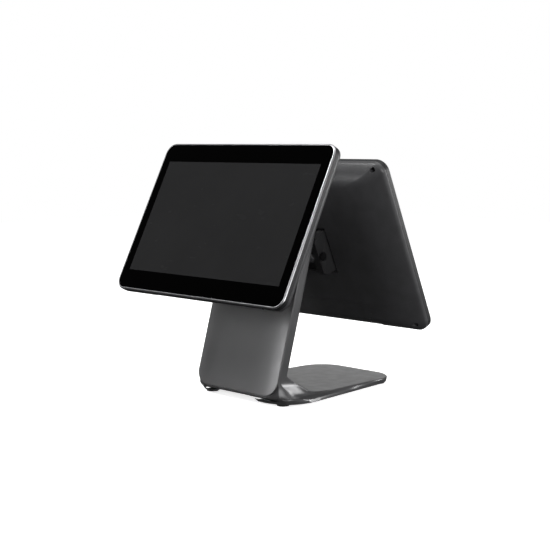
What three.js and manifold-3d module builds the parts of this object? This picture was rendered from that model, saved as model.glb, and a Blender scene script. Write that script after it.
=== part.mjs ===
// Two-sided point-of-sale touchscreen terminal on one leaning column and a flat foot.
// Millimetres, +Z up. The main screen faces -Y, the customer's screen faces +Y.
// The origin is on the floor, under the middle of the whole terminal.
import * as THREE from 'three';
import { mergeVertices } from 'three/addons/utils/BufferGeometryUtils.js';
import Module from 'manifold-3d';

const wasm = await Module();
wasm.setup();

// ---------------------------------------------------------------- driving dimensions
const GAP = 0.3;                     // clear space between pieces that touch
const DEPTH_SHIFT = -90.25;          // moves the design's depth datum to the middle of the terminal

const PANEL_WIDTH = 384;
const CORNER_RADIUS = 19;
const BODY_DEPTH = 38;
const FRAME_DEPTH = 9.5;
const WALL = 2.5;
const GLASS_THICKNESS = 2;
const PIVOT_DEPTH = 58;              // hinge axis behind the glass

const MAIN = {
  name: 'main', height: 261.3, band: 10, lean: 26.77, centre: [-43.65, 288.05],
  active: [344.2, 193.6],
};
const SECOND = {
  name: 'second', height: 296.7, band: 10, lean: 24.14, centre: [185.6, 246],
  active: [304.1, 228.1],
};

const COLUMN_LEAN = 15.9;
const COLUMN_HALF = 91.8;
const COLUMN_DEPTH = 21.6;
const COLUMN_POINT = [21.5, 154.6];  // a point on the front face, in depth and height
const COLUMN_TOP = 297;
const COVER_THICKNESS = 3;
const COVER_BOTTOM = 17;
const SPINE_HALF = 60;
const SPINE_OFFSET = 8.3;
const SPINE_THICKNESS = 4;
const SPINE_TOP = 267;

const FOOT_HEIGHT = 3;
const BASE_BOTTOM = FOOT_HEIGHT + GAP;
const BASE_WALL = 2.6;
const BASE_BACK = 283;
const PLATE_THICKNESS = 2.5;

const HUB_HALF = 34;
const KNUCKLE_RADIUS = 11;
const PIN_RADIUS = 5;
const WASHER = 1.3;
const EAR_OUTER = 50;

// ---------------------------------------------------------------- materials
const finish = (color, roughness, metalness) =>
  new THREE.MeshStandardMaterial({ color, roughness, metalness });
const LOOK = {
  darkPlastic: finish(0x2b2c2e, 0.55, 0),
  satinPlastic: finish(0x3a3b3d, 0.4, 0),
  rim: finish(0x9a9c9f, 0.3, 0.9),
  glass: finish(0x050506, 0.05, 0),
  lcd: finish(0x1c1d20, 0.5, 0),
  sheetSteel: finish(0x8c9094, 0.45, 1),
  castMetal: finish(0x4c4e51, 0.5, 0.8),
  board: finish(0x1f4a2c, 0.6, 0),
  aluminium: finish(0xa9adb1, 0.35, 1),
  screw: finish(0x1a1a1b, 0.4, 0.8),
  rubber: finish(0x101010, 0.9, 0),
};

// ---------------------------------------------------------------- solid helpers
function solidOf(geometry) {
  const plain = geometry.clone();
  plain.deleteAttribute('normal');
  plain.deleteAttribute('uv');
  const merged = mergeVertices(plain, 1e-4);
  return new wasm.Manifold(new wasm.Mesh({
    numProp: 3,
    vertProperties: new Float32Array(merged.attributes.position.array),
    triVerts: new Uint32Array(merged.index.array),
  }));
}

function geometryOf(solid) {
  const mesh = solid.getMesh();
  const positions = new THREE.BufferAttribute(new Float32Array(mesh.vertProperties), 3);
  const geometry = new THREE.BufferGeometry();
  geometry.setAttribute('position', positions);
  geometry.setIndex(new THREE.BufferAttribute(new Uint32Array(mesh.triVerts), 1));
  geometry.computeVertexNormals();
  return geometry;
}

function block(x, y, z) {
  const geometry = new THREE.BoxGeometry(x[1] - x[0], y[1] - y[0], z[1] - z[0]);
  geometry.translate((x[0] + x[1]) / 2, (y[0] + y[1]) / 2, (z[0] + z[1]) / 2);
  return solidOf(geometry);
}

function rod(axis, radius, from, to, a, b, segments = 16) {
  const geometry = new THREE.CylinderGeometry(radius, radius, to - from, segments);
  const middle = (from + to) / 2;
  if (axis === 'x') {
    geometry.rotateZ(Math.PI / 2);
    geometry.translate(middle, a, b);
  } else if (axis === 'y') {
    geometry.translate(a, middle, b);
  } else {
    geometry.rotateX(Math.PI / 2);
    geometry.translate(a, b, middle);
  }
  return solidOf(geometry);
}

// A polygon of [depth, height] points, drawn out along X.
function slice(points, half) {
  const shape = new THREE.Shape(points.map(([y, z]) => new THREE.Vector2(y, z)));
  const geometry = new THREE.ExtrudeGeometry(shape, { depth: 2 * half, bevelEnabled: false });
  const turn = new THREE.Matrix4().makeBasis(
    new THREE.Vector3(0, 1, 0), new THREE.Vector3(0, 0, 1), new THREE.Vector3(1, 0, 0));
  geometry.applyMatrix4(turn);
  geometry.translate(-half, 0, 0);
  return solidOf(geometry);
}

// Closed skin over rings of points that all have the same count.
function loft(rings) {
  const count = rings[0].length;
  const positions = rings.flat(2);
  const triangles = [];
  for (let r = 0; r + 1 < rings.length; r += 1) {
    for (let i = 0; i < count; i += 1) {
      const a = r * count + i;
      const b = r * count + (i + 1) % count;
      triangles.push(a, b, b + count, a, b + count, a + count);
    }
  }
  const last = (rings.length - 1) * count;
  for (let i = 1; i + 1 < count; i += 1) {
    triangles.push(0, i + 1, i);
    triangles.push(last, last + i, last + i + 1);
  }
  const geometry = new THREE.BufferGeometry();
  geometry.setAttribute('position', new THREE.Float32BufferAttribute(positions, 3));
  geometry.setIndex(triangles);
  return solidOf(geometry);
}

const CORNER_STEPS = 5;
function cornerArc(cx, cz, radius, start) {
  const points = [];
  for (let i = 0; i <= CORNER_STEPS; i += 1) {
    const angle = start + (Math.PI / 2) * (i / CORNER_STEPS);
    points.push([cx + radius * Math.cos(angle), cz + radius * Math.sin(angle)]);
  }
  return points;
}

// Rounded rectangle in the plane of a screen, at one depth.
function screenRing(depth, left, right, low, high, radius) {
  const quarter = Math.PI / 2;
  return [
    ...cornerArc(right - radius, high - radius, radius, 0),
    ...cornerArc(left + radius, high - radius, radius, quarter),
    ...cornerArc(left + radius, low + radius, radius, 2 * quarter),
    ...cornerArc(right - radius, low + radius, radius, 3 * quarter),
  ].map(([x, z]) => [x, depth, z]);
}

function roundedPlate(width, height, radius, from, to) {
  const ring = (depth) => screenRing(
    depth, -width / 2, width / 2, -height / 2, height / 2, radius);
  return loft([ring(to), ring(from)]);
}

function addMesh(group, name, solid, material) {
  const mesh = new THREE.Mesh(geometryOf(solid), material);
  mesh.name = name;
  group.add(mesh);
  return mesh;
}

const joined = (solids) => solids.reduce((all, one) => all.add(one));
const cutAway = (body, tools) => tools.reduce((left, tool) => left.subtract(tool), body);

// ---------------------------------------------------------------- screen heads
// Each head is drawn with its glass at depth 0, facing -Y, and its middle at the origin.
// The back skin from the side band out: share of the depth, then how far in it has come at the
// sides, at the top and at the bottom.
const BACK_CURVE = [
  [0, 0, 0, 0], [0.1, 0.6, 0.3, 0.3], [0.22, 2.5, 1.5, 1.1], [0.42, 10, 8, 6], [0.63, 21, 16, 11],
  [0.85, 40, 23, 17], [0.96, 60, 27.5, 20], [1, 75, 30, 22],
];

function backForm(head, inset) {
  const half = PANEL_WIDTH / 2 - inset;
  const tall = head.height / 2 - inset;
  const deep = BODY_DEPTH - inset - head.band;
  const start = inset > 0 ? FRAME_DEPTH - 5 : FRAME_DEPTH + GAP;
  const rings = [screenRing(start, -half, half, -tall, tall, CORNER_RADIUS - inset)];
  for (const [rise, fromSide, fromTop, fromBottom] of BACK_CURVE) {
    const side = half - fromSide;
    const radius = CORNER_RADIUS - inset - 9 * rise;
    rings.push(screenRing(
      head.band + deep * rise, -side, side, fromBottom - tall, tall - fromTop, radius));
  }
  return loft(rings.reverse());
}

const RIM_WALL = 3;
const RIM_CHAMFER = 1.2;
const LEDGE = 11;
function makeFrame(head) {
  const ring = (depth, inset) => screenRing(
    depth, inset - PANEL_WIDTH / 2, PANEL_WIDTH / 2 - inset,
    inset - head.height / 2, head.height / 2 - inset, CORNER_RADIUS - inset);
  const outer = loft([ring(FRAME_DEPTH, 0), ring(RIM_CHAMFER, 0), ring(0, RIM_CHAMFER)]);
  const pocket = (inset, from, to) => roundedPlate(
    PANEL_WIDTH - 2 * inset, head.height - 2 * inset, CORNER_RADIUS - inset, from, to);
  const ledgeFront = GLASS_THICKNESS + GAP;
  const ledgeBack = ledgeFront + 2;
  return cutAway(outer, [
    pocket(RIM_WALL, -1, ledgeFront),
    pocket(LEDGE, ledgeFront - 1, ledgeBack + 1),
    pocket(RIM_WALL + 0.5, ledgeBack, FRAME_DEPTH + 1),
  ]);
}

const makeGlass = (head) => roundedPlate(
  PANEL_WIDTH - 2 * (RIM_WALL + GAP), head.height - 2 * (RIM_WALL + GAP),
  CORNER_RADIUS - RIM_WALL - GAP, 0, GLASS_THICKNESS);

const LCD_BACK = 8;
const makeLcd = (head) => roundedPlate(
  head.active[0] + 10, head.active[1] + 9, 1.5, GLASS_THICKNESS + GAP, LCD_BACK);

const CHASSIS = [8.4, 9.8];
const STANDOFF = [26, 30];
const BRACKET = [33.3, 36.3];
const SCREW_HOLE = 2.2;
function bracketSpots() {
  const spots = [];
  for (const x of [-STANDOFF[0], STANDOFF[0]]) {
    for (const z of [-STANDOFF[1], STANDOFF[1]]) {
      spots.push([x, z]);
    }
  }
  return spots;
}

const SHELL_SCREW = [176, 10, 15];   // half spacing, inset from the top, inset from the bottom
function shellScrewSpots(head) {
  const [x, fromTop, fromBottom] = SHELL_SCREW;
  const high = head.height / 2 - fromTop;
  const low = fromBottom - head.height / 2;
  return [[-x, high], [x, high], [-x, low], [x, low]];
}

function makeChassis(head) {
  const margin = RIM_WALL + 4;
  const sheet = roundedPlate(
    PANEL_WIDTH - 2 * margin, head.height - 2 * margin, CORNER_RADIUS - margin, ...CHASSIS);
  const posts = bracketSpots().map(
    ([x, z]) => rod('y', 5, CHASSIS[1] - 0.5, BRACKET[0] - GAP, x, z, 12));
  const holes = bracketSpots().map(
    ([x, z]) => rod('y', SCREW_HOLE, CHASSIS[1] + 8, BRACKET[0] + 1, x, z, 8));
  const clearance = shellScrewSpots(head).map(
    ([x, z]) => rod('y', SCREW_HOLE, CHASSIS[0] - 1, CHASSIS[1] + 1, x, z, 8));
  return cutAway(joined([sheet, ...posts]), [...holes, ...clearance]);
}

const BAY = { half: 100, tall: 54, front: 12.6, wall: 2.5, lip: 7 };
const WINDOW = [51, 39];
const RECESS = [53, 41, 2];
const VENT = { count: 12, pitch: 9, width: 3, height: 22, lift: 58 };
const SCREW_SEAT = 15;
function makeRearShell(head) {
  const low = -head.height / 2;
  const outer = backForm(head, 0);
  const inner = backForm(head, WALL);
  const [recessX, recessZ, recessDeep] = RECESS;
  const tub = block(
    [-BAY.half - BAY.wall, BAY.half + BAY.wall], [BAY.front - BAY.wall, BODY_DEPTH],
    [low - 1, low + BAY.tall + BAY.wall]);
  const pocket = block(
    [-recessX - WALL, recessX + WALL], [BODY_DEPTH - recessDeep - WALL, BODY_DEPTH],
    [-recessZ - WALL, recessZ + WALL]);
  const bosses = shellScrewSpots(head).map(
    ([x, z]) => rod('y', 5.3, CHASSIS[1] + 0.5, BODY_DEPTH, x, z, 12));
  const inside = joined([tub, pocket, ...bosses]).intersect(outer.add(inner));
  const tools = [
    block([-recessX, recessX], [BODY_DEPTH - recessDeep, BODY_DEPTH + 1], [-recessZ, recessZ]),
    block([-WINDOW[0], WINDOW[0]], [BODY_DEPTH - 12, BODY_DEPTH + 1], [-WINDOW[1], WINDOW[1]]),
    block([-BAY.half, BAY.half], [BAY.front, BODY_DEPTH + 1], [low - 2, low + BAY.tall]),
    block(PORT_SLOT.x, PORT_SLOT.y, [low + BAY.tall - 1, low + BAY.tall + BAY.wall + 1]),
  ];
  for (const [x, z] of shellScrewSpots(head)) {
    tools.push(rod('y', 4.2, SCREW_SEAT, BODY_DEPTH + 1, x, z, 12));
    tools.push(rod('y', SCREW_HOLE, CHASSIS[1], BODY_DEPTH, x, z, 8));
  }
  if (head === MAIN) {
    for (let i = 0; i < VENT.count; i += 1) {
      const x = (i - (VENT.count - 1) / 2) * VENT.pitch;
      tools.push(block([x - VENT.width / 2, x + VENT.width / 2], [BODY_DEPTH - 6, BODY_DEPTH + 1],
        [VENT.lift, VENT.lift + VENT.height]));
    }
  }
  return cutAway(outer.subtract(inner).add(inside), tools);
}

function makePortCover(head) {
  const low = -head.height / 2;
  const skin = backForm(head, 0).subtract(backForm(head, WALL));
  return skin.intersect(block(
    [GAP - BAY.half, BAY.half - GAP], [BAY.front + 2, BODY_DEPTH + 1],
    [low + BAY.lip, low + BAY.tall - GAP]));
}

// Sockets that look down into the bay: [centre, width], all on one small board.
const PORTS = [[-68, 22], [-40, 15], [-19, 15], [2, 17], [26, 18], [52, 24]];
const PORT_DEPTH = [24, 33];
const PORT_SLOT = { x: [-81, 66], y: [23.5, 33.5] };
function makePorts(head) {
  const ceiling = BAY.tall - head.height / 2;
  const board = block([-80, 65], [PORT_DEPTH[0] + 1, PORT_DEPTH[0] + 2.6],
    [ceiling + BAY.wall + 1, ceiling + BAY.wall + 19]);
  const sockets = PORTS.map(([x, width]) => block(
    [x - width / 2, x + width / 2], PORT_DEPTH, [ceiling - 1, ceiling + 14]));
  return joined([board, ...sockets]);
}

const EAR_INNER = HUB_HALF + WASHER + 2 * GAP;
const EAR_REACH = 65;
function makeBracket() {
  const plate = roundedPlate(2 * EAR_OUTER, 76, 4, ...BRACKET);
  const earProfile = [
    [BRACKET[1] - 1, -36], [EAR_REACH - 6, -33], [EAR_REACH, -27],
    [EAR_REACH, 27], [EAR_REACH - 6, 33], [BRACKET[1] - 1, 36],
  ];
  const earHalf = (EAR_OUTER - EAR_INNER) / 2;
  const solids = [plate];
  for (const side of [-1, 1]) {
    const shift = side * (EAR_INNER + earHalf);
    solids.push(slice(earProfile, earHalf).translate([shift, 0, 0]));
  }
  const bore = rod('x', PIN_RADIUS + GAP, -EAR_OUTER - 1, EAR_OUTER + 1, PIVOT_DEPTH, 0, 24);
  const holes = bracketSpots().map(
    ([x, z]) => rod('y', SCREW_HOLE, BRACKET[0] - 1, BRACKET[1] + 1, x, z, 8));
  return cutAway(joined(solids), [bore, ...holes]);
}

// A cap screw along depth, head outward at the back.
function screwAt(x, z, seat, headRadius, headHeight, tip) {
  const cap = rod('y', headRadius, seat, seat + headHeight, x, z, 12);
  return cap.add(rod('y', 1.7, tip, seat + 0.5, x, z, 8));
}

function makeMainboard() {
  const sheet = block([-172, -58], [13.4, 15], [-62, 92]);
  const parts = [
    block([-168, -160], [14.5, 22], [-50, -14]),
    block([-156, -86], [14.5, 18.4], [-54, -46]),
    block([-156, -86], [14.5, 18.4], [-42, -34]),
    block([-100, -66], [14.5, 17.4], [60, 84]),
    block([-76, -62], [14.5, 24], [-20, 20]),
  ];
  const legs = [[-166, 86], [-64, 50], [-166, -4], [-64, -56]].map(
    ([x, z]) => rod('y', 3, CHASSIS[1] + GAP, 14, x, z, 10));
  return joined([sheet, ...parts, ...legs]);
}

const SINK = { x: [-152, -88], z: [-22, 48], fins: 9 };
function makeHeatsink() {
  const solids = [block(SINK.x, [15.3, 19], SINK.z)];
  const pitch = (SINK.x[1] - SINK.x[0] - 2) / (SINK.fins - 1);
  for (let i = 0; i < SINK.fins; i += 1) {
    const x = SINK.x[0] + i * pitch;
    solids.push(block([x, x + 2], [18.5, 28], SINK.z));
  }
  return joined(solids);
}

function makeDriverBoard() {
  const sheet = block([66, 166], [13.4, 15], [-40, 50]);
  const parts = [
    block([84, 112], [14.5, 17], [-6, 22]),
    block([124, 160], [14.5, 20], [26, 42]),
    block([72, 104], [14.5, 19], [-36, -28]),
  ];
  const legs = [[70, 46], [162, 46], [70, -20], [162, -36]].map(
    ([x, z]) => rod('y', 3, CHASSIS[1] + GAP, 14, x, z, 10));
  return joined([sheet, ...parts, ...legs]);
}

function makeSpeaker(side) {
  const x = side * 140;
  const body = block([x - 24, x + 24], [CHASSIS[1] + GAP, 22], [-106, -82]);
  return body.add(rod('y', 9, 21, 24, x, -94, 20));
}

const BUTTON = { x: 150, y: 6.6, radius: 2.1, travel: 1 };
function makePowerButton() {
  const rimLow = -MAIN.height / 2;
  const stem = rod('z', BUTTON.radius, rimLow - 1.2, rimLow + 5, BUTTON.x, BUTTON.y, 20);
  const flange = block(
    [BUTTON.x - 6, BUTTON.x + 6], [BUTTON.y - 2, BUTTON.y + 2], [rimLow + 3.9, rimLow + 5.4]);
  return stem.add(flange);
}

// The switch stands just above the pressed button, on a board in front of the chassis plate.
function makeButtonBoard() {
  const pressed = -MAIN.height / 2 + 5.4 + BUTTON.travel;
  const back = CHASSIS[0] - GAP;
  const sheet = block([BUTTON.x - 12, BUTTON.x + 12], [back - 1.6, back], [pressed + 2, pressed + 13]);
  const contact = block([BUTTON.x - 3, BUTTON.x + 3], [4.8, back - 1], [pressed + GAP, pressed + 6]);
  return sheet.add(contact);
}

function makeHead(head, turned) {
  const stand = new THREE.Group();
  stand.position.set(0, head.centre[0] + DEPTH_SHIFT, head.centre[1]);
  stand.rotation.z = turned ? Math.PI : 0;
  const tilt = new THREE.Group();
  tilt.rotation.x = THREE.MathUtils.degToRad(-head.lean);
  stand.add(tilt);
  const add = (part, solid, look) => addMesh(tilt, `${head.name}_${part}`, solid, look);

  let frame = makeFrame(head);
  if (head === MAIN) {
    const low = -head.height / 2;
    const hole = rod('z', BUTTON.radius + GAP, low - 2, low + 5, BUTTON.x, BUTTON.y, 20);
    frame = frame.subtract(hole);
  }
  add('frame', frame, LOOK.rim);
  add('touch_glass', makeGlass(head), LOOK.glass);
  add('lcd_panel', makeLcd(head), LOOK.lcd);
  add('chassis_plate', makeChassis(head), LOOK.sheetSteel);
  add('rear_shell', makeRearShell(head), LOOK.darkPlastic);
  add('port_cover', makePortCover(head), LOOK.darkPlastic);
  add('ports', makePorts(head), LOOK.screw);
  add('hinge_bracket', makeBracket(), LOOK.castMetal);
  bracketSpots().forEach(([x, z], i) => {
    const screw = screwAt(x, z, BRACKET[1] + GAP, 3.6, 2.6, BRACKET[0] - 12);
    add(`bracket_screw_${i + 1}`, screw, LOOK.screw);
  });
  shellScrewSpots(head).forEach(([x, z], i) => {
    const seat = SCREW_SEAT + GAP;
    add(`shell_screw_${i + 1}`, screwAt(x, z, seat, 3.4, 2.4, CHASSIS[0]), LOOK.screw);
  });
  if (head === MAIN) {
    add('mainboard', makeMainboard(), LOOK.board);
    add('heatsink', makeHeatsink(), LOOK.aluminium);
    add('speaker_left', makeSpeaker(-1), LOOK.rubber);
    add('speaker_right', makeSpeaker(1), LOOK.rubber);
    add('power_button', makePowerButton(), LOOK.satinPlastic);
    add('button_board', makeButtonBoard(), LOOK.board);
  } else {
    add('driver_board', makeDriverBoard(), LOOK.board);
  }
  return stand;
}

// ---------------------------------------------------------------- column and foot
const leanAngle = THREE.MathUtils.degToRad(COLUMN_LEAN);
const alongColumn = [Math.sin(leanAngle), Math.cos(leanAngle)];
const faceDepth = (height) => COLUMN_POINT[0] + (height - COLUMN_POINT[1]) * Math.tan(leanAngle);

// A point given by depth and height, as [behind the front face, along the column].
function toColumn([depth, height]) {
  const y = depth - COLUMN_POINT[0];
  const z = height - COLUMN_POINT[1];
  return [y * alongColumn[1] - z * alongColumn[0], y * alongColumn[0] + z * alongColumn[1]];
}
const alongAt = (height) => (height - COLUMN_POINT[1]) / alongColumn[1];

// Pivot of a head, as depth and height.
function pivotOf(head, facing) {
  const lean = THREE.MathUtils.degToRad(head.lean);
  return [
    head.centre[0] + facing * PIVOT_DEPTH * Math.cos(lean),
    head.centre[1] - PIVOT_DEPTH * Math.sin(lean),
  ];
}
const MAIN_PIVOT = pivotOf(MAIN, 1);
const SECOND_PIVOT = pivotOf(SECOND, -1);

// Plan outline of the foot or column at one height.
function planRing(height, front, back, halfFront, halfBack, frontRadius, backRadius, waist) {
  const right = [
    ...cornerArc(halfFront - frontRadius, front + frontRadius, frontRadius, -Math.PI / 2),
    waist ?? [(halfFront + halfBack) / 2, (front + frontRadius + back - backRadius) / 2],
    ...cornerArc(halfBack - backRadius, back - backRadius, backRadius, 0),
  ];
  const left = right.map(([x, y]) => [-x, y]).reverse();
  return [...right, ...left].map(([x, y]) => [x, y, height]);
}

// The foot from the floor up: height, front and back edge, half widths there, corner radii, and a
// point where the side bends.
const FOOT_FORM = [
  [BASE_BOTTOM, -6, BASE_BACK - 0.5, [110, 88], [54, 50], [104.3, 100]],
  [8, -9, BASE_BACK, [109, 89], [52, 50], [102, 100]],
  [11.4, -12, BASE_BACK - 0.8, [105.5, 90], [47, 49], [96.5, 100]],
  [12.4, -13.5, BASE_BACK - 3, [104, 88.5], [45, 47], [94.5, 100]],
  [12.8, -14.5, 116, [103.5, 92.6], [44, 10], [94.8, 85]],
  [14.2, -15, 88, [102, 92.8], [40, 8], [96, 66]],
  [18, -14, 65, [99.5, 93], [31, 7], [96.5, 45]],
  [27, -11.5, 46, [95.8, 92.4], [20, 6], [94.2, 30]],
  [36, -8.9, 29, [92.4, 92], [6, 5], [92.3, 12]],
];
const RAMP_TOP = 47;
const FRONT_OPENS = 50;              // above this height the front cover closes the column

function standForm(inset) {
  const rings = FOOT_FORM.map(([height, front, back, half, radii, waist]) => planRing(
    height - inset, front + inset, back - inset, half[0] - inset, half[1] - inset,
    Math.max(radii[0] - inset, 1), Math.max(radii[1] - inset, 1), [waist[0] - inset, waist[1]]));
  const open = inset > 0 ? -8 : 0;
  const above = [[RAMP_TOP - inset, inset], [FRONT_OPENS, open], [COLUMN_TOP + inset, open]];
  const half = COLUMN_HALF - inset;
  for (const [height, ahead] of above) {
    const front = faceDepth(height) + (COVER_THICKNESS + GAP) / alongColumn[1];
    const back = faceDepth(height) + COLUMN_DEPTH / alongColumn[1] - inset;
    rings.push(planRing(height, front + ahead, back, half, half, 1, 5 - inset / 2));
  }
  return loft(rings);
}

// Cable passage under the front of the foot.
function archTool() {
  const corners = [[-68, -1], [50, -1], [32, 13], [-64, 13]];
  const shape = new THREE.Shape(corners.map(([x, z]) => new THREE.Vector2(x, z)));
  const geometry = new THREE.ExtrudeGeometry(shape, { depth: 60, bevelEnabled: false });
  geometry.rotateX(Math.PI / 2);
  geometry.translate(0, 24, 0);
  return solidOf(geometry);
}

const inColumn = (solid) => solid.rotate([-COLUMN_LEAN, 0, 0]).translate([0, ...COLUMN_POINT]);
const ARM_CLEARANCE = HUB_HALF + 4;

function makeStandShell() {
  const window = inColumn(
    block([-ARM_CLEARANCE, ARM_CLEARANCE], [12, COLUMN_DEPTH + 6], [68, 136]));
  return cutAway(standForm(0), [standForm(BASE_WALL), archTool(), window]);
}

const BASE_SCREWS = [[-45, 100], [45, 100]];
const FEET = {
  front_left: [-82, 12],
  front_right: [82, 12],
  rear_left: [-68, 254],
  rear_right: [68, 254],
};
const PLATE_TOP = BASE_BOTTOM + PLATE_THICKNESS;
function makeBasePlate() {
  const clear = BASE_WALL + 0.6;
  const ring = (height) => planRing(
    height, -6 + clear, BASE_BACK - 1 - clear, 107 - clear, 87 - clear, 50, 49);
  const holes = BASE_SCREWS.map(
    ([x, y]) => rod('z', SCREW_HOLE, BASE_BOTTOM - 1, PLATE_TOP + 1, x, y, 12));
  const plate = loft([ring(BASE_BOTTOM), ring(PLATE_TOP)]);
  return cutAway(plate, [archTool(), ...holes]);
}

const FLANGE = [PLATE_TOP + GAP, PLATE_TOP + GAP + 3];
function spinePlate(clear) {
  const top = alongAt(SPINE_TOP) + clear;
  return block([-SPINE_HALF - clear, SPINE_HALF + clear],
    [SPINE_OFFSET - clear, SPINE_OFFSET + SPINE_THICKNESS + clear], [alongAt(26), top]);
}
function makeSpine() {
  const lean = (offset) => faceDepth(26) + offset / alongColumn[1];
  const bend = [
    [lean(SPINE_OFFSET), 26.6], [6, FLANGE[0]], [120, FLANGE[0]], [120, FLANGE[1]],
    [10, FLANGE[1]], [lean(SPINE_OFFSET + SPINE_THICKNESS), 26.6 - 2.4],
  ];
  const holes = BASE_SCREWS.map(([x, y]) => rod('z', 2.1, FLANGE[0] - 1, FLANGE[1] + 1, x, y, 12));
  const bolts = HUB_BOLTS.map((along) => inColumn(rod('y', 3.2, 0, 20, 0, along, 12)));
  return cutAway(inColumn(spinePlate(0)).add(slice(bend, SPINE_HALF)), [...holes, ...bolts]);
}

function makeFrontCover() {
  const ring = (depth, inset) => {
    const bottom = alongAt(COVER_BOTTOM) + inset;
    const top = alongAt(COLUMN_TOP) - inset;
    const side = COLUMN_HALF - inset;
    const lower = 25 - inset;
    const quarter = Math.PI / 2;
    return [
      ...cornerArc(side - 3, top - 3, 3, 0),
      ...cornerArc(3 - side, top - 3, 3, quarter),
      ...cornerArc(lower - side, bottom + lower, lower, 2 * quarter),
      ...cornerArc(side - lower, bottom + lower, lower, 3 * quarter),
    ].map(([x, z]) => [x, depth, z]);
  };
  const cover = loft([ring(COVER_THICKNESS, 0), ring(0.9, 0), ring(0.25, 0.35), ring(0, 1.1)]);
  return cover.subtract(block(
    [-ARM_CLEARANCE, ARM_CLEARANCE], [-2, COVER_THICKNESS + 2], [84, 136]));
}

function makeColumnCap() {
  const low = COLUMN_TOP + GAP;
  const ring = (height, inset) => planRing(height, faceDepth(height) + inset,
    faceDepth(height) + COLUMN_DEPTH / alongColumn[1] - inset,
    COLUMN_HALF - inset, COLUMN_HALF - inset, 1.5, 4.5 - inset);
  return loft([ring(low, 0), ring(low + 2, 0), ring(low + 3, 0.9)]);
}

const HUB_BOLTS = [90, 104];
function makeHub() {
  const [mainY, mainZ] = toColumn(MAIN_PIVOT);
  const [secondY, secondZ] = toColumn(SECOND_PIVOT);
  const outline = [
    [mainY + 1, mainZ + 10.8], [5, 124], [22, 126], [40, 114], [secondY + 3, secondZ + 10.6],
    [secondY - 3, secondZ - 10.6], [30, 72], [8, 84], [mainY + 3, mainZ - 10.6],
  ];
  const knuckle = (y, z) => rod('x', KNUCKLE_RADIUS, -HUB_HALF, HUB_HALF, y, z, 24);
  const bore = (y, z) => rod('x', PIN_RADIUS + GAP, -HUB_HALF - 1, HUB_HALF + 1, y, z, 24);
  const body = joined([slice(outline, HUB_HALF), knuckle(mainY, mainZ), knuckle(secondY, secondZ)]);
  const belowTop = block([-SPINE_HALF, SPINE_HALF],
    [SPINE_OFFSET - GAP, SPINE_OFFSET + SPINE_THICKNESS + GAP], [0, alongAt(SPINE_TOP) + GAP]);
  const bolts = HUB_BOLTS.map((along) => rod('y', 3.2, 0, 30, 0, along, 12));
  const seats = HUB_BOLTS.map((along) => rod('y', 5.5, -20, 3, 0, along, 16));
  return cutAway(body, [bore(mainY, mainZ), bore(secondY, secondZ), belowTop, ...bolts, ...seats]);
}

function makeHubBolt(along) {
  const head = rod('y', 5, -1, 3 - GAP, 0, along, 12);
  return head.add(rod('y', 2.8, 2, 28, 0, along, 8));
}

function makePin([y, z]) {
  const reach = EAR_OUTER + GAP;
  return joined([
    rod('x', PIN_RADIUS, -reach - 1, reach + 1, y, z, 24),
    rod('x', 7, reach, reach + 3, y, z, 20),
    rod('x', 7, -reach - 3, -reach, y, z, 20),
  ]);
}

function makeWasher([y, z], side) {
  const near = HUB_HALF + GAP;
  const span = side > 0 ? [near, near + WASHER] : [-near - WASHER, -near];
  const bore = rod('x', PIN_RADIUS + GAP, span[0] - 1, span[1] + 1, y, z, 24);
  return rod('x', 9, ...span, y, z, 24).subtract(bore);
}

function makeStand() {
  const stand = new THREE.Group();
  stand.position.y = DEPTH_SHIFT;
  addMesh(stand, 'stand_shell', makeStandShell(), LOOK.darkPlastic);
  addMesh(stand, 'base_plate', makeBasePlate(), LOOK.sheetSteel);
  addMesh(stand, 'column_spine', makeSpine(), LOOK.sheetSteel);
  addMesh(stand, 'column_cap', makeColumnCap(), LOOK.darkPlastic);
  for (const [place, [x, y]] of Object.entries(FEET)) {
    addMesh(stand, `foot_${place}`, rod('z', 10, 0, FOOT_HEIGHT, x, y, 20), LOOK.rubber);
  }
  BASE_SCREWS.forEach(([x, y], i) => {
    const head = rod('z', 4.5, BASE_BOTTOM - GAP - 1.6, BASE_BOTTOM - GAP, x, y, 12);
    const screw = head.add(rod('z', 1.8, BASE_BOTTOM - 1, FLANGE[1], x, y, 12));
    addMesh(stand, `base_screw_${i + 1}`, screw, LOOK.screw);
  });
  const pivots = { main: MAIN_PIVOT, second: SECOND_PIVOT };
  for (const [name, pivot] of Object.entries(pivots)) {
    addMesh(stand, `${name}_hinge_pin`, makePin(pivot), LOOK.sheetSteel);
    addMesh(stand, `${name}_washer_left`, makeWasher(pivot, -1), LOOK.aluminium);
    addMesh(stand, `${name}_washer_right`, makeWasher(pivot, 1), LOOK.aluminium);
  }
  const column = new THREE.Group();
  column.position.set(0, ...COLUMN_POINT);
  column.rotation.x = -leanAngle;
  addMesh(column, 'column_front_cover', makeFrontCover(), LOOK.satinPlastic);
  addMesh(column, 'hinge_hub', makeHub(), LOOK.castMetal);
  HUB_BOLTS.forEach((along, i) => {
    addMesh(column, `hub_bolt_${i + 1}`, makeHubBolt(along), LOOK.screw);
  });
  stand.add(column);
  return stand;
}

const terminal = new THREE.Group();
terminal.add(makeStand());
terminal.add(makeHead(MAIN, false));
terminal.add(makeHead(SECOND, true));
export default terminal;
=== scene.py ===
"""Looks of a two-sided point-of-sale touchscreen terminal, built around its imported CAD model.

Metres, +Z up, the operator's screen faces -Y. Each piece stands for the CAD node of the same
name, in the same place, with finer edges and a procedural material.
"""
import math

import bmesh
import bpy
from mathutils import Matrix, Vector


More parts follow.
